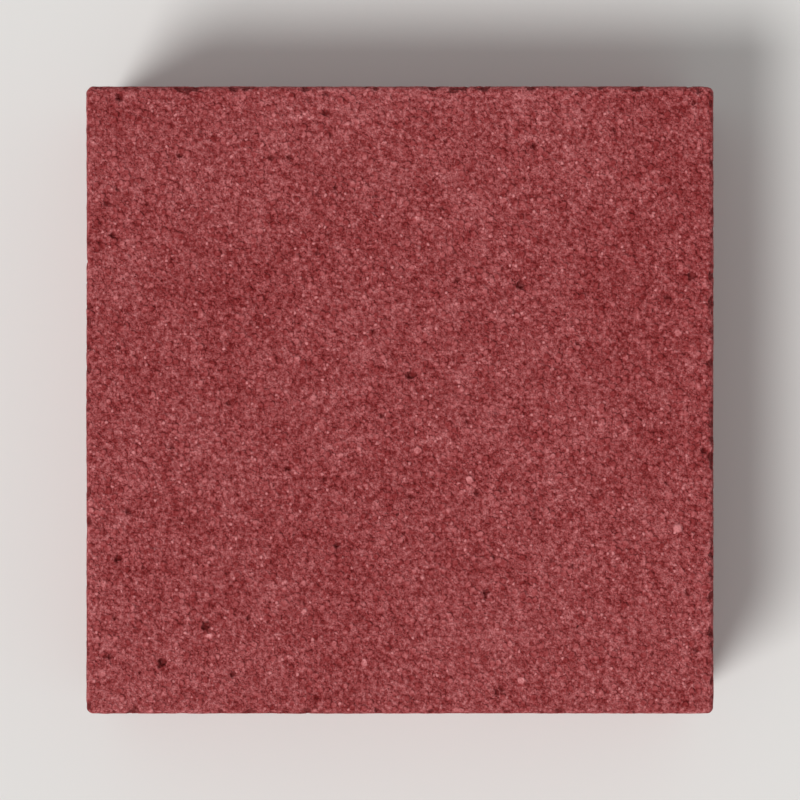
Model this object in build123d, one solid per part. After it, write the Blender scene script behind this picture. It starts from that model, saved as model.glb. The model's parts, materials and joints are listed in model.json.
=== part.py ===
from build123d import *

import os

# Concrete paving stone: one square block, pressed in one piece from one mix.
# Millimetres. The origin is the middle of the bedding face, and +Z leads up to the wearing face.

# The paving that the stone is laid in
module = 200.0  # pitch of the laid stones, joint included
joint = 3.0  # gap between two laid stones, which is filled with sand

# The block
thickness = 60.0  # bedding face to wearing face
arris_radius = 2.0  # rounding of the edge round the wearing face
corner_radius = 2.5  # rounding of the four upright corners

# The spacer nibs, which hold the joint open
nib_tip_width = 8.0  # flat tip that meets a neighbour's nib
nib_flank = 1.5  # width of the sloping flank on each side of the tip
nib_depth = 12.0  # wearing face down to where a nib begins
nib_lead_in = 6.0  # height over which it grows to its full thickness

# The block gives up the joint, and each stone's nibs fill half of it. Nibs half a module apart
# meet nib to nib whether the stones are laid in line or half a stone along, as in half bond.
block_side = module - joint
nib_thickness = joint / 2
nib_spacing = module / 2


def block():
    """The square block with its rounded upright corners and its rounded upper edge."""
    on_floor = (Align.CENTER, Align.CENTER, Align.MIN)
    body = Box(block_side, block_side, thickness, align=on_floor)
    body = fillet(body.edges().filter_by(Axis.Z), corner_radius)
    wearing_face = body.faces().sort_by(Axis.Z)[-1]
    return fillet(wearing_face.edges(), arris_radius)


def nib():
    """One nib on the +X side, midway along it: a rib up from the bedding face with sloping
    flanks and a lead-in at its upper end, so that it draws out of the mould and centres the
    next stone as that is lowered beside it."""
    root_top = thickness - nib_depth
    tip_top = root_top - nib_lead_in
    root_width = nib_tip_width + 2 * nib_flank
    side = Plane(origin=(block_side / 2, 0, 0), x_dir=(0, 1, 0), z_dir=(1, 0, 0))
    from_floor = (Align.CENTER, Align.MIN)
    root = side * Rectangle(root_width, root_top, align=from_floor)
    tip = side.offset(nib_thickness) * Rectangle(nib_tip_width, tip_top, align=from_floor)
    return loft([root, tip])


def nibs():
    """Two nibs on each of the four sides."""
    one = nib()
    along_side = GridLocations(0, nib_spacing, 1, 2)
    round_block = PolarLocations(0, 4)
    return [turn * place * one for turn in round_block for place in along_side]


def paving_stone():
    """The whole stone: one solid."""
    return block() + nibs()


os.makedirs("parts", exist_ok=True)
export_step(paving_stone(), "parts/paving_stone.step")
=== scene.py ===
"""Looks of the square concrete paving stone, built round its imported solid.

The stone was pressed in one piece from one coloured mix, so it is one piece here too. Its shape is that
of the solid, drawn on a fine grid and then roughened as pressed concrete is: faces that aren't quite
flat, air pores, sides scored as the mould was drawn up off them, and arrises that have lost some grains.
Sand grain, pinholes, draw marks and clouds of pigment come from node groups that its finishes share.
"""

import json
import logging
import math
from collections.abc import Iterator, Sequence
from dataclasses import dataclass
from enum import Enum
from itertools import pairwise

import bpy
import numpy as np
from bpy.types import ID, Material, Mesh, Node, NodeSocket, NodeTree, Object, World, bpy_prop_collection
from mathutils import Color, Matrix, Vector, kdtree, noise
from numpy.random import Generator, default_rng


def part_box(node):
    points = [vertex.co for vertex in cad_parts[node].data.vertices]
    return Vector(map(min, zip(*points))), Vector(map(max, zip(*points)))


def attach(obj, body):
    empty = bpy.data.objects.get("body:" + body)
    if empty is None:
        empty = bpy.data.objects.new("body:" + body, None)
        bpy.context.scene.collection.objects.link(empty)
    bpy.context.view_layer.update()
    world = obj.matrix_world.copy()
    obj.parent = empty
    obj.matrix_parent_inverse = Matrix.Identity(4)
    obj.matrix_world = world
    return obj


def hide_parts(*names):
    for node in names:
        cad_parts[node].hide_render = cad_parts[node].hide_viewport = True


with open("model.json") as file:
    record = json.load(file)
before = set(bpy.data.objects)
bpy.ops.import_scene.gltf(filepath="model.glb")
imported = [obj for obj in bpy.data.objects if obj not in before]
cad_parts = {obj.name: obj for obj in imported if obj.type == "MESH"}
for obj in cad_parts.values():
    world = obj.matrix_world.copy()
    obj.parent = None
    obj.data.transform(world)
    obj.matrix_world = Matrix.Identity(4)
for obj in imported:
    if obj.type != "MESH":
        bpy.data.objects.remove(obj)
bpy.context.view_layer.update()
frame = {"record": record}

log = logging.getLogger("paving_stone")

Array = np.ndarray
Pair = tuple[float, float]
Triple = tuple[float, float, float]
Socket = NodeSocket
Sockets = bpy_prop_collection

MM = 0.001  # metres in a millimetre, which the stone is shaped in
QUARTER_TURN = math.pi / 2.0
TINY = 1e-9  # keeps a divisor above 0, and keeps rounding from adding a step


class Face(Enum):
    """The stone's faces, by what formed each one. The value is the face's material number."""

    WEARING = 0  # pressed by the tamper
    SIDE = 1  # drawn along the walls of the mould
    BEDDING = 2  # lay on the board


def ease(value: Array) -> Array:
    """Goes smoothly from 0 to 1 as the value does, and is held there outside that range."""
    held = np.clip(value, 0.0, 1.0)
    return held * held * (3.0 - 2.0 * held)


def solid_noise(points: Array, lump: float | Sequence[float], seed: float) -> Array:
    """Smooth noise that fills space.

    Args:
        points: Where it is sampled, in millimetres.
        lump: Size of its lumps in millimetres, the same all ways or along X, Y and Z.
        seed: Shift that sets one noise apart from another.

    Returns:
        One value for each point, from -1 to 1.
    """
    moved = points / np.asarray(lump) + seed
    return np.array([noise.noise(place) for place in moved.tolist()])


def graded(stops: Sequence[float], step: float) -> Array:
    """Rising values that pass through each stop.

    Args:
        stops: Values to pass through, lowest first.
        step: Widest gap between two values.

    Returns:
        The values, from the first stop to the last.
    """
    runs = [
        np.linspace(low, high, math.ceil((high - low) / step - TINY), endpoint=False)
        for low, high in pairwise(stops)
    ]
    return np.append(np.concatenate(runs), stops[-1])


def grid_faces(ids: Array) -> Array:
    """The quads between the rows and columns of a grid of vertex numbers."""
    return np.stack([ids[:-1, :-1], ids[1:, :-1], ids[1:, 1:], ids[:-1, 1:]], -1).reshape(-1, 4)


def rim(ids: Array) -> Array:
    """The vertex numbers round the edge of a grid, anticlockwise from above."""
    return np.concatenate([ids[:-1, 0], ids[-1, :-1], ids[:0:-1, -1], ids[0, :0:-1]])


def read(items: bpy_prop_collection, name: str, width: int = 1) -> Array:
    """Reads one property of all a mesh's points, faces or corners.

    Args:
        items: The points, faces or corners.
        name: The property.
        width: How many numbers it holds: one whole number, or several that aren't whole.

    Returns:
        One number, or one row of numbers, for each of them.
    """
    values = np.empty(len(items) * width, np.int32 if width == 1 else np.float32)
    items.foreach_get(name, values)
    return values if width == 1 else values.reshape(-1, width).astype(float)


def placed(name: str, data: ID) -> Object:
    """Puts a new object into the scene.

    Args:
        name: The object's name.
        data: Its mesh, lamp or camera.

    Returns:
        The object.
    """
    made = bpy.data.objects.new(name, data)
    bpy.context.scene.collection.objects.link(made)
    return made


@dataclass(frozen=True)
class SpacerNibs:
    """The ribs up the sides that hold the joint open. The record's mounts say where each one is."""

    tips: tuple[tuple[Vector, Vector], ...]  # middle of the tip, and the way it faces
    thickness: float = 1.5
    tip_width: float = 8.0
    flank: float = 1.5  # width of each sloping flank
    lead_in: float = 6.0  # height of the slope above the tip
    root_reach: float = 1.3  # how far from the inner corner the mix is loose

    @property
    def heights(self) -> list[float]:
        """Heights at which the lead-in begins and ends: a tip's middle is halfway up it."""
        tip_top = 2.0 * self.tips[0][0].z
        return [tip_top, tip_top + self.lead_in]

    @property
    def stops(self) -> list[float]:
        """Distances along a side, from its middle, at which a nib's slopes begin or end.

        Returns:
            The distances, nearest first.
        """
        middle = min(abs(tip.x) for tip, _ in self.tips)
        half_tip = self.tip_width / 2.0
        return [middle - self.half_root, middle - half_tip, middle + half_tip, middle + self.half_root]

    @property
    def half_root(self) -> float:
        """Distance from a nib's middle to the foot of its flank."""
        return self.tip_width / 2.0 + self.flank

    def seen_from_each(self, points: Array) -> Iterator[tuple[Array, Array, Array]]:
        """Places points beside each nib in turn.

        Args:
            points: Points of the stone.

        Yields:
            The way the nib faces, each point's distance along the side from the nib's middle, and
            whether the point is on the nib's side of the stone.
        """
        for tip, facing in self.tips:
            outward = np.array(facing)
            off = points - np.array(tip)
            along = np.abs(off @ np.array((-facing.y, facing.x, 0.0)))
            yield outward, along, off @ outward > -2.0 * self.thickness

    def stand_out(self, points: Array) -> tuple[Array, Array]:
        """How far each point near the sides stands out on a nib.

        Args:
            points: Points of the stone.

        Returns:
            A share of the nib's thickness for each point, and its shift as X, Y and Z.
        """
        shares = np.zeros(len(points))
        shift = np.zeros_like(points)
        down_lead_in = (self.heights[1] - points[:, 2]) / self.lead_in
        for outward, along, on_this_side in self.seen_from_each(points):
            up_flank = (self.half_root - along) / self.flank
            share = np.clip(np.minimum(up_flank, down_lead_in), 0.0, 1.0) * on_this_side
            shares += share
            shift += share[:, None] * self.thickness * outward
        return shares, shift

    def at_root(self, points: Array) -> Array:
        """How near each point is to the inner corner beside a nib, where the mix fills the mould badly.

        Args:
            points: Points of the stone.

        Returns:
            One number for each point, from 0 to 1.
        """
        nearness = np.zeros(len(points))
        below_top = ease((self.heights[1] - points[:, 2]) / self.lead_in)
        for _, along, on_this_side in self.seen_from_each(points):
            close = 1.0 - np.abs(along - self.half_root) / self.root_reach
            nearness = np.maximum(nearness, close * on_this_side)
        return nearness * below_top


@dataclass(frozen=True)
class Row:
    """One row of points round the stone, on the way down its sides."""

    inset: float  # how far it lies inside the side
    height: float
    face: Face


@dataclass(frozen=True)
class Block:
    """The stone's plain form between its nibs, before any texture."""

    half_side: float
    height: float
    arris_radius: float = 2.0
    corner_radius: float = 2.5
    foot_radius: float = 0.6  # square in the mould, but it never stays sharp
    foot_steps: int = 3
    loose_reach: float = 3.0  # how far from an edge its hollows begin to slant towards the core

    @property
    def straight(self) -> float:
        """Distance along a side, from its middle, at which the rounded corner begins."""
        return self.half_side - self.corner_radius

    def level(self, across: Array, along: Array, row: Row) -> Array:
        """Brings points of a square grid to the block's outline at the level of one row.

        Args:
            across: Grid position along X, as on a block with square corners.
            along: Grid position along Y.
            row: The row that the grid's edge becomes.

        Returns:
            X, Y and Z of each point.
        """
        over_x = np.clip((np.abs(across) - self.straight) / self.corner_radius, 0.0, 1.0)
        over_y = np.clip((np.abs(along) - self.straight) / self.corner_radius, 0.0, 1.0)
        far, near = np.maximum(over_x, over_y), np.minimum(over_x, over_y)
        turn = near / np.maximum(far, TINY) * QUARTER_TURN / 2.0
        reach = far * (self.corner_radius - row.inset)
        more, less = reach * np.cos(turn), reach * np.sin(turn)
        x_leads = over_x >= over_y
        x = np.minimum(np.abs(across), self.straight) + np.where(x_leads, more, less)
        y = np.minimum(np.abs(along), self.straight) + np.where(x_leads, less, more)
        return np.stack([x * np.sign(across), y * np.sign(along), np.full(len(x), row.height)], -1)

    def outward(self, points: Array) -> Array:
        """The way out of the stone's core, which turns round an edge more slowly than the surface does.

        Hollows are cut straight against it, so none folds over where an edge is sharper than it is deep.

        Args:
            points: Points of the plain stone.

        Returns:
            A direction of length 1 for each point.
        """
        middle = np.array([0.0, 0.0, self.height / 2.0])
        core = np.array([self.half_side, self.half_side, self.height / 2.0]) - self.loose_reach
        off = points - middle
        way = off - np.clip(off, -core, core)
        return way / np.linalg.norm(way, axis=1, keepdims=True)

    def rows(self, stops: Sequence[float], step: float) -> list[Row]:
        """The way down a side, from the flat of the wearing face to that of the bedding face.

        Args:
            stops: Heights on the side that a row has to pass through.
            step: Widest gap between two rows.

        Returns:
            The rows, from the top.
        """
        made = []
        arris_steps = math.ceil(self.arris_radius * QUARTER_TURN / step)
        for turn in np.linspace(0.0, QUARTER_TURN, arris_steps, endpoint=False):
            inset = self.arris_radius * (1.0 - math.sin(turn))
            drop = self.arris_radius * (1.0 - math.cos(turn))
            face = Face.WEARING if 2.0 * turn < QUARTER_TURN else Face.SIDE
            made.append(Row(inset, self.height - drop, face))
        upright = graded([self.foot_radius, *stops, self.height - self.arris_radius], step)
        made += [Row(0.0, height, Face.SIDE) for height in upright[::-1]]
        for turn in np.linspace(0.0, QUARTER_TURN, self.foot_steps + 1)[1:]:
            inset = self.foot_radius * (1.0 - math.cos(turn))
            made.append(Row(inset, self.foot_radius * (1.0 - math.sin(turn)), Face.BEDDING))
        return made

    def places_on(self, face: Face, count: int, seed: int) -> Array:
        """Random places on one face, or on all four sides.

        Args:
            face: The face.
            count: How many places.
            seed: Start of the random numbers.

        Returns:
            X, Y and Z of each place.
        """
        chance = default_rng(seed)
        first, second = chance.uniform(-self.half_side, self.half_side, (2, count))
        if face is Face.SIDE:
            height = chance.uniform(self.foot_radius, self.height - 2.0 * self.arris_radius, count)
            return self.shared_out(0.0, first, height, chance)
        height = self.height if face is Face.WEARING else 0.0
        return np.stack(np.broadcast_arrays(first, second, height), -1)

    def places_along(self, drop: float, height: float, count: int, seed: int) -> Array:
        """Random places all round an edge of the stone.

        Args:
            drop: How far the edge lies inside the side.
            height: How high it lies.
            count: How many places.
            seed: Start of the random numbers.

        Returns:
            X, Y and Z of each place.
        """
        chance = default_rng(seed)
        along = chance.uniform(-self.half_side, self.half_side, count)
        return self.shared_out(drop, along, height, chance)

    def shared_out(self, drop: float, along: Array, height: float | Array, chance: Generator) -> Array:
        """Shares places out among the four sides.

        Args:
            drop: How far they lie inside the side.
            along: How far along it each one lies.
            height: How high they lie.
            chance: Source of the random numbers.

        Returns:
            X, Y and Z of each place.
        """
        places = np.stack(np.broadcast_arrays(self.half_side - drop, along, height), -1)
        turns = [np.array(Matrix.Rotation(side * QUARTER_TURN, 3, "Z")) for side in range(4)]
        sides = chance.integers(0, len(turns), len(places))
        return np.array([turns[side] @ place for side, place in zip(sides, places)])


@dataclass(frozen=True)
class Waves:
    """Unevenness of one size on one face."""

    face: Face
    lump: float | Triple
    depth: float
    seed: float

    def hollow(self, points: Array) -> Array:
        """How far each point lies below the face's highest places."""
        return self.depth * (0.5 + 0.5 * solid_noise(points, self.lump, self.seed))


@dataclass(frozen=True)
class OpenTexture(Waves):
    """Ragged hollows of one size on one face, where the mix left gaps between its grains."""

    level: float  # the higher, the fewer
    fine: Triple = (0.45, 0.5, 5.0)  # finer lumps: size beside the others, strength and shift of seed
    patches: Triple = (8.0, 0.35, 9.0)  # where the hollows lie thicker, in the same way
    wall: float = 0.3  # the lower, the steeper

    def hollow(self, points: Array) -> Array:
        """How deep each point lies in a hollow.

        Args:
            points: Points of the face.

        Returns:
            One depth for each point.
        """
        thick = solid_noise(points, self.lump, self.seed)
        for size, strength, shift in (self.fine, self.patches):
            thick += strength * solid_noise(points, np.multiply(size, self.lump), self.seed + shift)
        return self.depth * ease((thick - self.level) / self.wall)


@dataclass(frozen=True)
class Pores:
    """Places where the concrete is missing: air pores on one face, or grains lost from an edge."""

    places: Array
    radius: Pair
    depth: float  # beside the radius
    seed: int
    lean: float = 2.5  # above 1, most are near the lower radius
    ragged: Pair = (0.8, 0.7)  # size of the outline's lumps beside the radius, and strength
    widest_shift: float = 50.0  # of the outlines' noise, so that each pore has its own
    reach: float = 1.8  # radii out to which the outline may go
    wall: float = 0.5  # share of the radius over which it reaches its depth

    def found(self, points: Array, tree: kdtree.KDTree) -> Iterator[tuple[Array, Array]]:
        """Finds the points in reach of each pore.

        Args:
            points: All the stone's points.
            tree: The same points, for finding those near a place.

        Yields:
            The numbers of the points near one pore, and how deep it is at each of them.
        """
        chance = default_rng(self.seed)
        least, most = self.radius
        for place in self.places:
            radius = least + (most - least) * chance.random() ** self.lean
            shift = chance.uniform(-self.widest_shift, self.widest_shift)
            within = tree.find_range(place, self.reach * radius)
            near = np.array([index for _, index, _ in within], dtype=int)
            if near.size:
                size, strength = self.ragged
                away = np.linalg.norm(points[near] - place, axis=1) / radius
                away *= 1.0 + strength * solid_noise(points[near], size * radius, shift)
                yield near, self.depth * radius * ease((1.0 - away) / self.wall)


@dataclass(frozen=True)
class Relief:
    """What pressing, demoulding and handling did to the plain stone."""

    block: Block
    nibs: SpacerNibs
    waves: tuple[Waves, ...] = (
        Waves(Face.WEARING, 55.0, 0.22, 3.1),
        Waves(Face.WEARING, 14.0, 0.12, 8.7),
        Waves(Face.WEARING, 3.4, 0.14, 12.3),
        Waves(Face.SIDE, (40.0, 40.0, 90.0), 0.25, 21.9),
        Waves(Face.SIDE, (2.6, 2.6, 40.0), 0.22, 25.2),
        Waves(Face.SIDE, (4.0, 4.0, 5.5), 0.20, 29.6),
        Waves(Face.BEDDING, 60.0, 0.20, 33.8),
        Waves(Face.BEDDING, (70.0, 3.4, 10.0), 0.16, 37.4),
        Waves(Face.BEDDING, 4.0, 0.20, 41.5),
    )
    open_texture: tuple[OpenTexture, ...] = (
        OpenTexture(Face.WEARING, 2.4, 0.3, 61.3, level=0.72),
        OpenTexture(Face.SIDE, 3.2, 0.8, 67.9, level=0.52),
        OpenTexture(Face.BEDDING, 3.0, 0.7, 73.4, level=0.50),
    )
    level_from: float = 0.35  # lean of a normal, 1 upright, from which a point is partly on a level face
    level_at: float = 0.85  # lean from which it is wholly on it
    edge_turn: float = 0.25  # how far a normal turns away from every face on a full edge
    flank_edge: float = 0.3  # how far the nibs' slopes count as edges
    crumble: float = 0.18  # depth to which the edges have lost grains all along
    crumble_lump: float = 2.2
    crumble_seed: float = 51.0
    patch_depth: float = 0.5  # further depth where they have lost more
    patch_lump: float = 9.0
    patch_seed: float = 57.0
    patch_spread: float = 1.4
    root_loss: float = 0.45  # depth to which the mix is missing beside a nib
    root_lump: Triple = (1.6, 1.6, 3.0)
    root_seed: float = 47.0
    root_spread: float = 0.55
    rubbed_tip: float = 0.6  # how worn the tips of the nibs are, beside the arris
    full_pore: float = 0.5  # depth from which a hollow counts as a pore

    def pores(self) -> list[Pores]:
        """The air pores of each face, and the grains lost from the arris and the foot.

        Returns:
            One entry for each kind of place.
        """
        on_face, along_edge = self.block.places_on, self.block.places_along
        in_arris = 0.3 * self.block.arris_radius  # near the middle of its round
        arris = along_edge(drop=in_arris, height=self.block.height - in_arris, count=130, seed=104)
        foot = along_edge(drop=0.0, height=0.0, count=150, seed=105)
        return [
            Pores(on_face(Face.WEARING, count=120, seed=101), (0.5, 1.1), depth=0.7, seed=1),
            Pores(on_face(Face.WEARING, count=22, seed=106), (0.9, 1.6), depth=0.85, seed=6, lean=1.4),
            Pores(on_face(Face.SIDE, count=160, seed=102), (0.6, 2.0), depth=0.75, seed=2),
            Pores(on_face(Face.BEDDING, count=140, seed=103), (0.6, 1.8), depth=0.75, seed=3),
            Pores(arris, (0.7, 2.0), depth=0.4, seed=4),
            Pores(foot, (0.8, 2.6), depth=0.45, seed=5),
        ]

    def shares(self, normals: Array) -> dict[Face, Array]:
        """How far each point belongs to each face, so that one texture runs into the next.

        Args:
            normals: The way each point faces.

        Returns:
            Shares that add up to 1 at each point.
        """
        up = normals[:, 2]
        span = self.level_at - self.level_from
        above, below = (ease((lean - self.level_from) / span) for lean in (up, -up))
        return {Face.WEARING: above, Face.SIDE: 1.0 - above - below, Face.BEDDING: below}

    def crumbled(self, points: Array, edge: Array) -> Array:
        """How far the edges have crumbled.

        Args:
            points: All the stone's points.
            edge: How far each one lies on an edge.

        Returns:
            One depth for each point.
        """
        depth = np.zeros(len(points))
        there = np.flatnonzero(edge > 0.0)
        loose = 0.5 + 0.5 * solid_noise(points[there], self.crumble_lump, self.crumble_seed)
        patches = ease(self.patch_spread * solid_noise(points[there], self.patch_lump, self.patch_seed))
        depth[there] = edge[there] * loose * (self.crumble + self.patch_depth * patches)
        return depth

    def unfilled(self, points: Array) -> Array:
        """How much the mix is missing in the inner corners beside the nibs.

        Args:
            points: All the stone's points.

        Returns:
            One depth for each point.
        """
        depth = self.nibs.at_root(points)
        there = np.flatnonzero(depth > 0.0)
        loose = ease(self.root_spread + solid_noise(points[there], self.root_lump, self.root_seed))
        depth[there] *= self.root_loss * loose
        return depth

    def carve(self, points: Array, normals: Array) -> tuple[Array, dict[str, Array]]:
        """Works out the whole relief.

        Args:
            points: Points of the plain stone.
            normals: The way each one faces.

        Returns:
            How far each point sinks in, and the masks that the finishes read.
        """
        on_nib, _ = self.nibs.stand_out(points)
        edge = np.clip((1.0 - np.abs(normals).max(axis=1)) / self.edge_turn, 0.0, 1.0)
        edge[on_nib > 0.0] *= self.flank_edge
        sink = self.crumbled(points, edge)
        hollow = self.unfilled(points)
        share = self.shares(normals)
        for layers, total in ((self.waves, sink), (self.open_texture, hollow)):
            for layer in layers:
                there = np.flatnonzero(share[layer.face] > 0.0)
                total[there] += share[layer.face][there] * layer.hollow(points[there])

        tree = kdtree.KDTree(len(points))
        for number, point in enumerate(points.tolist()):
            tree.insert(point, number)
        tree.balance()
        for pores in self.pores():
            for near, depth in pores.found(points, tree):
                hollow[near] = np.maximum(hollow[near], depth)
        # edges and nib tips are painted paler: wear, and on the arris also a painted highlight
        wear_and_highlight = np.maximum(edge, self.rubbed_tip * on_nib)
        # the pore mask says how deep each point lies in a pore or hollow; the finishes paint shade there
        return sink + hollow, {"pore": ease(hollow / self.full_pore), "wear_and_highlight": wear_and_highlight}


@dataclass(frozen=True)
class Net:
    """A node tree, with short calls that add nodes to it and join them."""

    tree: NodeTree

    def add(self, kind: str, inputs: dict | None = None, **settings: object) -> Node:
        """Adds a node.

        Args:
            kind: Blender's name for it, without ShaderNode.
            inputs: Value or socket for each named or numbered input.
            **settings: The node's own properties.

        Returns:
            The node.
        """
        node = self.tree.nodes.new("ShaderNode" + kind)
        for name, value in settings.items():
            setattr(node, name, value)
        self.feed(node, inputs or {})
        return node

    def feed(self, node: Node, inputs: dict) -> None:
        """Sets a node's inputs, or links them where a socket is given.

        Args:
            node: The node.
            inputs: Value or socket for each named or numbered input.
        """
        for name, value in inputs.items():
            if isinstance(value, Socket):
                self.tree.links.new(value, node.inputs[name])
            else:
                node.inputs[name].default_value = value

    def math(self, operation: str, *values: object) -> Socket:
        """Result of a Math node."""
        return self.add("Math", dict(enumerate(values)), operation=operation).outputs[0]

    def vectors(self, operation: str, *values: object) -> Socket:
        """Result of a Vector Math node."""
        return self.add("VectorMath", dict(enumerate(values)), operation=operation).outputs[0]

    def scaled(self, vector: Socket, scale: object) -> Socket:
        """A vector times a number."""
        return self.add("VectorMath", {0: vector, "Scale": scale}, operation="SCALE").outputs[0]

    def in_units(self, vector: Socket, size: object) -> Socket:
        """A vector counted in units of a size."""
        return self.scaled(vector, self.math("DIVIDE", 1.0, size))

    def ramp(self, value: object, low: object, high: object) -> Socket:
        """Goes smoothly from 0 to 1 as the value goes from low to high."""
        sockets = {"Value": value, "From Min": low, "From Max": high}
        return self.add("MapRange", sockets, interpolation_type="SMOOTHSTEP").outputs[0]

    def noise(self, vector: object, detail: float, roughness: float = 0.5) -> Socket:
        """Noise with lumps of about one unit, centred on 0."""
        sockets = {"Vector": vector, "Scale": 1.0, "Detail": detail, "Roughness": roughness}
        return self.math("SUBTRACT", self.add("TexNoise", sockets).outputs[0], 0.5)

    def blend(self, mask: object, without: object, within: object) -> Socket:
        """One number where a mask is 0, and another where it is 1."""
        return self.add("Mix", {0: mask, 2: without, 3: within}, data_type="FLOAT").outputs[0]


class ShaderGroup:
    """A node group that is built once, and placed in each material with that material's values."""

    name: str
    inputs: dict[str, float | Triple]
    outputs: dict[str, str]  # kind of each one's socket, as Blender names it without NodeSocket

    def wire(self, net: Net, given: Sockets) -> dict[str, Socket]:
        """Makes the group's nodes.

        Args:
            net: The group's tree.
            given: The group's inputs.

        Returns:
            The socket behind each output.
        """
        raise NotImplementedError

    def tree(self) -> NodeTree:
        """Builds the group if it isn't there yet.

        Returns:
            The group.
        """
        made = bpy.data.node_groups.get(self.name)
        if made:
            return made
        made = bpy.data.node_groups.new(self.name, "ShaderNodeTree")
        for name, value in self.inputs.items():
            kind = "NodeSocketFloat" if isinstance(value, float) else "NodeSocketVector"
            made.interface.new_socket(name, in_out="INPUT", socket_type=kind).default_value = value
        for name, kind in self.outputs.items():
            made.interface.new_socket(name, in_out="OUTPUT", socket_type="NodeSocket" + kind)
        entry, leave = made.nodes.new("NodeGroupInput"), made.nodes.new("NodeGroupOutput")
        net = Net(made)
        net.feed(leave, self.wire(net, entry.outputs))
        return made

    def place(self, net: Net, **values: object) -> Sockets:
        """Puts the group into a material.

        Args:
            net: The material's tree.
            **values: Value or socket for each input, with _ for a space.

        Returns:
            The group's outputs.
        """
        node = net.add("Group", node_tree=self.tree())
        net.feed(node, {name.replace("_", " "): value for name, value in values.items()})
        return node.outputs


@dataclass(frozen=True)
class GrainSize:
    """One size of the larger grains. Widths are beside that of a coarse grain."""

    per_width: float  # how many lie along the width of a coarse grain
    share: float | str  # how many places hold one, or the input that says so
    paler: float = 0.0


class SandGrain(ShaderGroup):
    """Fine sand in its paste, with larger grains of three sizes bedded in it, and painted shade where the
    paste meets a grain.
    """

    name = "sand_grain"
    inputs = {
        "Place": (0.0, 0.0, 0.0),
        "Size": 1.8,
        "Coarse Share": 0.3,
        "Gravel Share": 0.004,
        "Flecks": 0.05,
    }
    outputs = {"Tone": "Float", "Height": "Float", "Fleck": "Float"}
    grains = (GrainSize(2.0, 0.6), GrainSize(1.0, "Coarse Share"), GrainSize(0.7, "Gravel Share", 0.8))
    pushes = 1.3  # along a coarse grain, so that the grains aren't regular
    push_reach = 0.35
    sand_size = 0.6  # beside a coarse grain
    sand_detail = 3.5
    sand_roughness = 0.7
    grain_edge = (0.72, 0.3)  # distances from a grain's middle at which it begins and is whole
    sand_height = 3.0
    # the paste's tone follows the same sand noise as its height: the sand's own tone, and painted shade
    # where the paste lies lower
    sand_tone_and_shade = 5.0
    crown_height = 1.1  # of a coarse grain above the paste
    crown_sand_height = 1.2
    # likewise on a grain's crown: its sand's own tone, and painted shade where the crown lies lower
    crown_sand_tone_and_shade = 3.0
    own_tone = 0.9  # how far the grains differ
    rim_shade_tone = 0.32  # painted shade: how dark the paste is painted where a grain meets it
    even_tone = 0.115  # makes up for the painted shade at the rims

    def wire(self, net: Net, given: Sockets) -> dict[str, Socket]:
        """Makes the group's nodes.

        Args:
            net: The group's tree.
            given: The group's inputs.

        Returns:
            The socket behind each output.
        """
        plain = net.in_units(given["Place"], given["Size"])
        push = net.add("TexNoise", {"Vector": plain, "Scale": self.pushes, "Detail": 1.0})
        push = net.vectors("SUBTRACT", push.outputs["Color"], (0.5, 0.5, 0.5))
        place = net.vectors("ADD", net.scaled(push, self.push_reach), plain)
        sand = net.noise(net.scaled(plain, 1.0 / self.sand_size), self.sand_detail, self.sand_roughness)
        height = net.math("MULTIPLY", sand, self.sand_height)
        # darker where the paste lies lower: partly sand tone, partly painted shade
        tone = net.math("MULTIPLY_ADD", sand, self.sand_tone_and_shade, self.even_tone)
        fleck: object = 0.0
        for grain in self.grains:
            share = given[grain.share] if isinstance(grain.share, str) else grain.share
            sockets = {"Vector": place, "Scale": grain.per_width}
            cells = net.add("TexVoronoi", sockets, voronoi_dimensions="3D")
            lot, own, rare = net.add("SeparateColor", {0: cells.outputs["Color"]}).outputs
            dome = net.ramp(cells.outputs["Distance"], *self.grain_edge)
            dome = net.math("MULTIPLY", dome, net.math("LESS_THAN", lot, share))
            top = self.crown_height / grain.per_width
            crown = net.math("MULTIPLY_ADD", sand, self.crown_sand_height, top)
            height = net.blend(dome, height, crown)
            shade = self.even_tone - 0.5 * self.own_tone + grain.paler
            shade = net.math("MULTIPLY_ADD", own, self.own_tone, shade)
            # a crown is darker where it lies lower: partly sand tone, partly painted shade
            tone = net.blend(dome, tone, net.math("MULTIPLY_ADD", sand, self.crown_sand_tone_and_shade, shade))
            # painted shade round the edge of each grain
            quarter_rim_shade = net.math("MULTIPLY", dome, net.math("SUBTRACT", 1.0, dome))
            tone = net.math("MULTIPLY_ADD", quarter_rim_shade, -4.0 * self.rim_shade_tone, tone)
            picked = net.ramp(rare, net.math("SUBTRACT", 1.0, given["Flecks"]), 1.0)
            fleck = net.blend(dome, fleck, picked)
        return {"Tone": tone, "Height": height, "Fleck": fleck}


class OpenPores(ShaderGroup):
    """Small ragged gaps that the paste left between the grains, thicker in some places than in others."""

    name = "open_pores"
    inputs = {"Place": (0.0, 0.0, 0.0), "Size": 1.4, "Level": 0.2}
    outputs = {"Hole": "Float"}
    detail = 3.0
    roughness = 0.6
    patch_scale = 0.09
    patchiness = 0.25
    wall = 0.05  # the lower, the steeper

    def wire(self, net: Net, given: Sockets) -> dict[str, Socket]:
        """Makes the group's nodes.

        Args:
            net: The group's tree.
            given: The group's inputs.

        Returns:
            The socket behind each output.
        """
        place = net.in_units(given["Place"], given["Size"])
        patches = net.noise(net.scaled(place, self.patch_scale), 1.0)
        ragged = net.noise(place, self.detail, self.roughness)
        thick = net.math("MULTIPLY_ADD", patches, self.patchiness, ragged)
        return {"Hole": net.ramp(thick, given["Level"], net.math("ADD", given["Level"], self.wall))}


@dataclass(frozen=True)
class CloudSize:
    """One size of the clouds."""

    share: float  # of the largest size
    strength: float
    detail: float = 1.0


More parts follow.
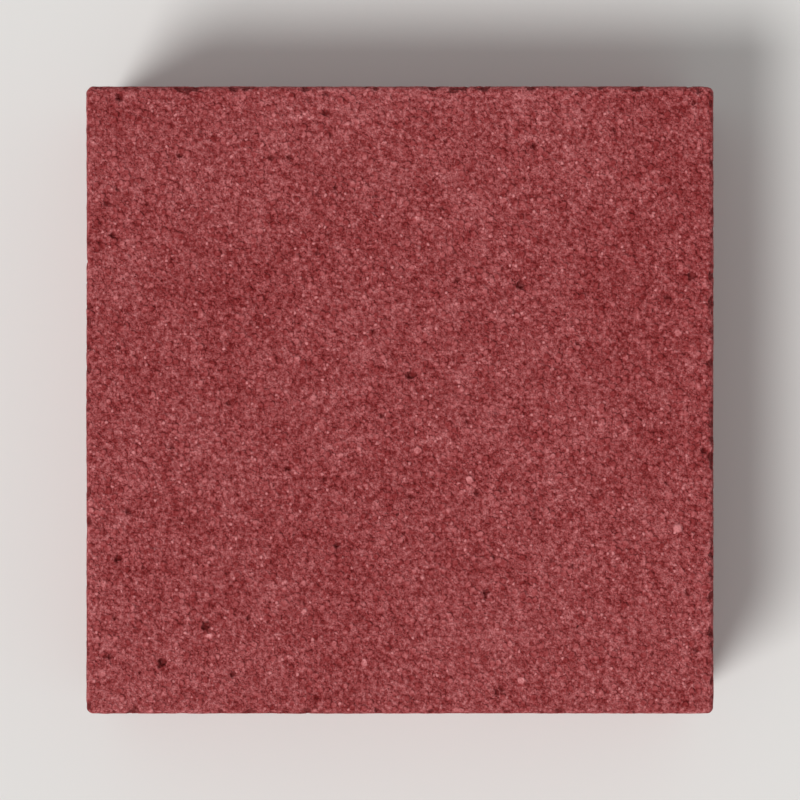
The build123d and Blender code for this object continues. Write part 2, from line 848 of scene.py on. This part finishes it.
class PigmentClouds(ShaderGroup):
    """Slow changes of shade where the mix took more or less pigment and water, in several sizes."""

    name = "pigment_clouds"
    inputs = {"Place": (0.0, 0.0, 0.0), "Size": 60.0}
    outputs = {"Tone": "Float"}
    sizes = (CloudSize(1.0, 2.1), CloudSize(0.25, 1.4), CloudSize(0.12, 0.7, 2.0), CloudSize(0.06, 4.4, 3.0))
    roughness = 0.62

    def wire(self, net: Net, given: Sockets) -> dict[str, Socket]:
        """Makes the group's nodes.

        Args:
            net: The group's tree.
            given: The group's inputs.

        Returns:
            The socket behind each output.
        """
        place = net.in_units(given["Place"], given["Size"])
        tone: object = 0.0
        for size in self.sizes:
            clouds = net.noise(net.scaled(place, 1.0 / size.share), size.detail, self.roughness)
            tone = net.math("MULTIPLY_ADD", clouds, size.strength, tone)
        return {"Tone": tone}


class DrawMarks(ShaderGroup):
    """Fine scores along Z, left by a wall that slid past or by the grain of a board."""

    name = "draw_marks"
    inputs = {"Place": (0.0, 0.0, 0.0), "Width": 1.6, "Length": 34.0}
    outputs = {"Tone": "Float"}
    detail = 3.0
    roughness = 0.6

    def wire(self, net: Net, given: Sockets) -> dict[str, Socket]:
        """Makes the group's nodes.

        Args:
            net: The group's tree.
            given: The group's inputs.

        Returns:
            The socket behind each output.
        """
        thin, long = (net.math("DIVIDE", 1.0, given[name]) for name in ("Width", "Length"))
        stretch = net.add("CombineXYZ", {0: thin, 1: thin, 2: long}).outputs[0]
        stretched = net.vectors("MULTIPLY", given["Place"], stretch)
        return {"Tone": net.noise(stretched, self.detail, self.roughness)}


class ConcreteColour(ShaderGroup):
    """The mix's colour, with painted shade in its pores and pinholes. Tone counts in display levels of 255.
    """

    name = "concrete_colour"
    inputs = {"Tone": 0.0, "Fleck": 0.0, "Hole": 0.0}
    outputs = {"Color": "Color"}
    body = (156.8, 66.7, 68.1)  # display levels of the plain mix
    reach = (1.0, 1.13, 1.13)  # how far red, green and blue follow a tone
    span = 80.0  # levels to the palest and to the darkest shade
    shades = 9
    fleck = 56.0  # levels by which a pale grain stands out
    hole = -60.0  # levels of the painted shade at the bottom of a pore or pinhole
    least = 0.005  # of red, green or blue in a shade, where display goes up to 1

    def shade(self, levels: float) -> tuple[float, float, float, float]:
        """The body colour with levels added to it, as linear light.

        Args:
            levels: Display levels.

        Returns:
            Red, green, blue and alpha.
        """
        display = [(value + share * levels) / 255.0 for value, share in zip(self.body, self.reach)]
        shown = Color([max(value, self.least) for value in display])
        return (*shown.from_srgb_to_scene_linear(), 1.0)

    def wire(self, net: Net, given: Sockets) -> dict[str, Socket]:
        """Makes the group's nodes.

        Args:
            net: The group's tree.
            given: The group's inputs.

        Returns:
            The socket behind each output.
        """
        ramp = net.add("ValToRGB", {0: net.math("MULTIPLY_ADD", given["Tone"], 0.5 / self.span, 0.5)})
        stops = ramp.color_ramp.elements
        for share in np.linspace(0.0, 1.0, self.shades):
            stop = stops.new(share) if 0.0 < share < 1.0 else stops[0 if share == 0.0 else -1]
            stop.color = self.shade((2.0 * share - 1.0) * self.span)
        color = ramp.outputs[0]
        # painted shade: pores and pinholes are darkened towards the hole shade, as if in shadow
        for mask, levels in ((given["Fleck"], self.fleck), (given["Hole"], self.hole)):
            color = net.add("Mix", {0: mask, 6: color, 7: self.shade(levels)}, data_type="RGBA").outputs[2]
        return {"Color": color}


@dataclass(frozen=True)
class ConcreteFinish:
    """How the concrete looks on one face. Tones are display levels of 255, sizes are millimetres."""

    face: Face
    grain_size: float
    coarse_share: float
    grain_height: float
    pinhole_size: float
    pinhole_level: float
    roughness: Pair
    pinhole_depth: float = 0.45
    grain_tone: float = 38.0
    cloud_size: float = 50.0
    cloud_tone: float = 12.0
    lighter: float = 2.0  # shift of the whole face's tone
    mark_tone: float = 0.0
    mark_depth: float = 0.0
    marks_lie: bool = False  # along X, not upright
    # painted shade in the pinholes, and in the pores and hollows that the relief carved
    pinhole_shade: float = 0.9
    pore_shade: float = 0.7
    # paler edges: wear, and a painted highlight that makes the arris stand out
    wear_and_highlight_tone: float = 8.0
    specular: float = 0.25
    tone_span: float = 0.8  # how much darker or paler a grain is where it is smoothest or roughest

    def material(self) -> Material:
        """Builds the material for this face.

        Returns:
            The material.
        """
        made = bpy.data.materials.new(self.face.name.lower() + "_concrete")
        made.use_nodes = True
        made.node_tree.nodes.clear()
        net = Net(made.node_tree)
        place = net.scaled(net.add("TexCoord").outputs["Object"], 1.0 / MM)
        grain = SandGrain().place(net, Place=place, Size=self.grain_size, Coarse_Share=self.coarse_share)
        clouds = PigmentClouds().place(net, Place=place, Size=self.cloud_size)["Tone"]
        pinholes = OpenPores().place(net, Place=place, Size=self.pinhole_size, Level=self.pinhole_level)
        pinhole = pinholes["Hole"]
        turn = {"Vector": place, "Axis": (0.0, 1.0, 0.0), "Angle": QUARTER_TURN if self.marks_lie else 0.0}
        along = net.add("VectorRotate", turn, rotation_type="AXIS_ANGLE").outputs[0]
        marks = DrawMarks().place(net, Place=along)["Tone"]
        pore, wear_and_highlight = (net.add("Attribute", attribute_name=name).outputs["Fac"] for name in ("pore", "wear_and_highlight"))

        tone: object = self.lighter
        height: object = 0.0
        for source, levels in (
            (grain["Tone"], self.grain_tone),
            (clouds, self.cloud_tone),
            (marks, self.mark_tone),
            # wear and painted highlight along the edges
            (wear_and_highlight, self.wear_and_highlight_tone),
        ):
            tone = net.math("MULTIPLY_ADD", source, levels, tone)
        for source, depth in (
            (grain["Height"], self.grain_height),
            (pinhole, -self.pinhole_depth),
            (marks, self.mark_depth),
        ):
            height = net.math("MULTIPLY_ADD", source, depth, height)
        # painted shade at the bottom of the pinholes and of the carved pores and hollows
        pinhole_painted_shade = net.math("MULTIPLY", pinhole, self.pinhole_shade)
        hole = net.math("MAXIMUM", pinhole_painted_shade, net.math("MULTIPLY", pore, self.pore_shade))
        colour = ConcreteColour().place(net, Tone=tone, Fleck=grain["Fleck"], Hole=hole)["Color"]
        bump = net.add("Bump", {"Height": height, "Distance": MM, "Strength": 1.0}).outputs[0]
        low, high = self.roughness
        span = {"From Min": -self.tone_span, "From Max": self.tone_span, "To Min": low, "To Max": high}
        rough = net.add("MapRange", span | {"Value": grain["Tone"]}).outputs[0]
        looks = {"Base Color": colour, "Roughness": rough, "Normal": bump}
        shader = net.add("BsdfPrincipled", looks | {"Specular IOR Level": self.specular})
        net.add("OutputMaterial", {"Surface": shader.outputs[0]})
        return made


@dataclass(frozen=True)
class MapPlan:
    """Where each face lies in the stone's texture map, which is one unit square."""

    wearing_scale: float = 0.0033  # map units per millimetre
    side_scale: float = 0.0024
    bedding_scale: float = 0.0014
    gap: float = 0.008

    def lay_out(self, mesh: Mesh, half: float) -> None:
        """Adds the map to the mesh.

        Args:
            mesh: The stone's mesh, in millimetres.
            half: Half the stone's side over its nibs.
        """
        corners = read(mesh.polygons, "loop_total")
        kind = np.repeat(read(mesh.polygons, "material_index"), corners)
        middle = np.repeat(read(mesh.polygons, "center", 3), corners, axis=0)
        at = read(mesh.vertices, "co", 3)[read(mesh.loops, "vertex_index")]
        on_x = np.abs(middle[:, 0]) > np.abs(middle[:, 1])
        facing = np.sign(np.where(on_x, middle[:, 0], middle[:, 1]))
        run = np.where(on_x, at[:, 1], -at[:, 0]) * facing

        wearing = self.gap + (at[:, :2] + half) * self.wearing_scale
        above = 2.0 * (self.gap + half * self.wearing_scale)
        column = self.gap + np.where(facing > 0.0, 0.0, 0.5)
        row = above + np.where(on_x, 0.0, 0.5 * (1.0 - above))
        side = np.stack([column, row], -1) + np.stack([run + half, at[:, 2]], -1) * self.side_scale
        bedding = (above, self.gap) + (at[:, :2] * (1.0, -1.0) + half) * self.bedding_scale
        chosen = np.choose(kind[:, None], (wearing, side, bedding))
        mesh.uv_layers.new(name="OFBake").uv.foreach_set("vector", chosen.astype(np.float32).ravel())


@dataclass(frozen=True)
class PavingStone:
    """The paving stone: its shell, its relief and its finishes."""

    block: Block
    nibs: SpacerNibs
    finishes: tuple[ConcreteFinish, ...]
    step: float = 0.46  # spacing of the grid that the relief is drawn on
    row_step: float = 0.598  # spacing of its rows down the sides
    most_triangles: int = 190_000  # left after the grid is thinned where it is flattest
    name: str = "pressed_stone"

    def shell(self) -> tuple[Array, Array, Array]:
        """The plain stone as a closed grid.

        Returns:
            Its points, its quads and the number of each quad's face.
        """
        block = self.block
        half_lines = graded([0.0, *self.nibs.stops, block.straight, block.half_side], self.step)
        lines = np.concatenate([-half_lines[:0:-1], half_lines])
        across, along = (grid.ravel() for grid in np.meshgrid(lines, lines, indexing="ij"))
        top_ids = np.arange(len(across)).reshape(len(lines), -1)
        bottom_ids = top_ids + len(across)
        edge = rim(top_ids)

        rows = block.rows(self.nibs.heights, self.row_step)
        top, bottom = (block.level(across, along, row) for row in (rows[0], rows[-1]))
        rings = [block.level(across[edge], along[edge], row) for row in rows[1:]]
        rings = [ring + self.nibs.stand_out(ring)[1] for ring in rings]
        bottom[edge] = rings.pop()
        points = np.concatenate([top, bottom, *rings])

        ring_ids = 2 * len(across) + np.arange(len(rings) * len(edge)).reshape(len(rings), -1)
        down = np.vstack([edge, ring_ids, rim(bottom_ids)])
        down = np.hstack([down, down[:, :1]])
        quads = [grid_faces(top_ids), grid_faces(bottom_ids.T), grid_faces(down)]
        kinds = [
            np.full(len(quads[0]), Face.WEARING.value),
            np.full(len(quads[1]), Face.BEDDING.value),
            np.repeat([row.face.value for row in rows[:-1]], len(edge)),
        ]
        return points, np.concatenate(quads), np.concatenate(kinds)

    def thinned(self, mesh: Mesh) -> Mesh:
        """Takes triangles out of a mesh where it is flattest.

        Args:
            mesh: The mesh.

        Returns:
            A new mesh with at most so many triangles as the stone may have.
        """
        rough = placed("rough", mesh)
        thin = rough.modifiers.new("thin", "DECIMATE")
        thin.ratio = self.most_triangles / (2.0 * len(mesh.polygons))
        made = bpy.data.meshes.new_from_object(rough.evaluated_get(bpy.context.evaluated_depsgraph_get()))
        bpy.data.objects.remove(rough)
        return made

    def roughened(self) -> Mesh:
        """Draws the shell and carves the relief into it.

        Returns:
            The stone's mesh in millimetres, with the masks that its finishes read.
        """
        points, quads, kinds = self.shell()
        mesh = bpy.data.meshes.new(self.name)
        mesh.from_pydata(points.tolist(), [], quads.tolist())
        mesh.polygons.foreach_set("material_index", kinds.astype(np.int32))
        normals = read(mesh.vertex_normals, "vector", 3)
        sink, masks = Relief(self.block, self.nibs).carve(points, normals)
        carved = points - self.block.outward(points) * sink[:, None]
        mesh.vertices.foreach_set("co", carved.astype(np.float32).ravel())
        for name, values in masks.items():
            mesh.attributes.new(name, "FLOAT", "POINT").data.foreach_set("value", values.astype(np.float32))
        return mesh

    def build(self) -> Object:
        """Builds the stone, dresses it and puts it in the frame.

        Returns:
            The finished piece.
        """
        mesh = self.roughened()
        for finish in self.finishes:
            mesh.materials.append(finish.material())
        mesh = self.thinned(mesh)
        MapPlan().lay_out(mesh, self.block.half_side + self.nibs.thickness)
        mesh.transform(Matrix.Scale(MM, 4))
        mesh.shade_smooth()
        piece = placed(self.name, mesh)
        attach(piece, "root")
        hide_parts("paving_stone")
        log.info("%s: %d triangles", piece.name, (read(mesh.polygons, "loop_total") - 2).sum())
        return piece


@dataclass(frozen=True)
class Studio:
    """The pale floor, the soft light and the camera straight above the stone."""

    stone_top: float
    stone_side: float
    lens: float = 150.0
    share_of_frame: float = 0.80  # width of the stone in the picture
    floor_colour: tuple[float, float, float, float] = (0.78, 0.77, 0.75, 1.0)
    floor_roughness: float = 0.9
    floor_specular: float = 0.1
    floor_reach: float = 60.0
    fill: float = 0.42
    key: float = 2.2
    key_height: float = 52.0  # degrees above the floor
    key_bearing: float = 225.0  # degrees anticlockwise from +X, which is the picture's lower left
    key_spread: float = 24.0

    def floor(self) -> Object:
        """Builds a plain floor out to the horizon.

        Returns:
            The floor.
        """
        corners = [(-1, -1, 0), (1, -1, 0), (1, 1, 0), (-1, 1, 0)]
        mesh = bpy.data.meshes.new("floor")
        mesh.from_pydata([Vector(corner) * self.floor_reach for corner in corners], [], [(0, 1, 2, 3)])
        material = bpy.data.materials.new("pale_floor")
        material.use_nodes = True
        looks = {
            "Base Color": self.floor_colour,
            "Roughness": self.floor_roughness,
            "Specular IOR Level": self.floor_specular,
        }
        Net(material.node_tree).feed(material.node_tree.nodes["Principled BSDF"], looks)
        mesh.materials.append(material)
        floor = placed("floor", mesh)
        return floor

    def key_light(self) -> Object:
        """Hangs a large soft key to the lower left of the picture.

        Returns:
            The lamp.
        """
        lamp = bpy.data.lights.new("key", "SUN")
        lamp.energy = self.key
        lamp.angle = math.radians(self.key_spread)
        key = placed("key", lamp)
        rise = Matrix.Rotation(math.radians(-self.key_height), 3, "Y")
        swing = Matrix.Rotation(math.radians(self.key_bearing), 3, "Z")
        key.location = swing @ rise @ Vector((1.0, 0.0, 0.0))
        key.rotation_mode = "QUATERNION"
        key.rotation_quaternion = key.location.to_track_quat("Z", "Y")
        return key

    def fill_light(self) -> World:
        """Lights the stone evenly from all round, with a backdrop that looks like the floor.

        Returns:
            The world.
        """
        world = bpy.data.worlds.new("studio")
        world.use_nodes = True
        world.node_tree.nodes.clear()
        net = Net(world.node_tree)
        rays = net.add("LightPath").outputs
        mirrored = net.math("MAXIMUM", rays["Is Glossy Ray"], rays["Is Transmission Ray"])
        seen = net.math("MAXIMUM", rays["Is Camera Ray"], mirrored)
        fill = net.add("Background", {"Color": (1.0, 1.0, 1.0, 1.0), "Strength": self.fill})
        backdrop = net.add("Background", {"Color": self.floor_colour, "Strength": 1.0})
        mixed = net.add("MixShader", {0: seen, 1: fill.outputs[0], 2: backdrop.outputs[0]})
        net.add("OutputWorld", {"Surface": mixed.outputs[0]})
        bpy.context.scene.world = world
        return world

    def camera(self) -> Object:
        """Sets up a camera that looks straight down, as the photograph does.

        Returns:
            The camera.
        """
        data = bpy.data.cameras.new("camera")
        data.lens = self.lens
        distance = self.stone_side / self.share_of_frame * self.lens / data.sensor_width
        camera = placed("camera", data)
        camera.location = (0.0, 0.0, self.stone_top + distance)
        bpy.context.scene.camera = camera
        return camera


def concrete_finishes() -> tuple[ConcreteFinish, ...]:
    """Sets out the finish of each face.

    Returns:
        The finishes, in the order of the faces' numbers.
    """
    wearing = ConcreteFinish(
        face=Face.WEARING,
        grain_size=1.9,
        coarse_share=0.3,
        grain_height=0.42,
        pinhole_size=1.3,
        pinhole_level=0.205,
        roughness=(0.82, 0.95),
        grain_tone=46.0,
        cloud_size=60.0,
        cloud_tone=12.5,
        lighter=0.0,
    )
    side = ConcreteFinish(
        face=Face.SIDE,
        grain_size=2.0,
        coarse_share=0.4,
        grain_height=0.55,
        pinhole_size=1.7,
        pinhole_level=0.20,
        roughness=(0.86, 0.98),
        mark_tone=26.0,
        mark_depth=0.5,
    )
    bedding = ConcreteFinish(
        face=Face.BEDDING,
        grain_size=2.1,
        coarse_share=0.45,
        grain_height=0.6,
        pinhole_size=1.8,
        pinhole_level=0.19,
        roughness=(0.88, 0.98),
        mark_tone=9.0,
        mark_depth=0.2,
        marks_lie=True,
    )
    return wearing, side, bedding


def main() -> None:
    """Builds the stone and its studio."""
    logging.basicConfig(level=logging.INFO, format="%(name)s %(message)s")
    low, high = (np.array(corner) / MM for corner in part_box("paving_stone"))
    mounts = [mount for mount in frame["record"]["mounts"] if mount["name"].startswith("nib_")]
    nibs = SpacerNibs(tuple((Vector(mount["pos_m"]) / MM, Vector(mount["axis"])) for mount in mounts))
    block = Block(half_side=(high[0] - low[0]) / 2.0 - nibs.thickness, height=high[2] - low[2])
    PavingStone(block, nibs, concrete_finishes()).build()
    studio = Studio(stone_top=high[2] * MM, stone_side=(high[0] - low[0]) * MM)
    for part in (studio.floor(), studio.key_light(), studio.fill_light(), studio.camera()):
        log.info("%s", part.name)
    bpy.context.scene.view_settings.view_transform = "Standard"


if __name__ == "__main__":
    main()
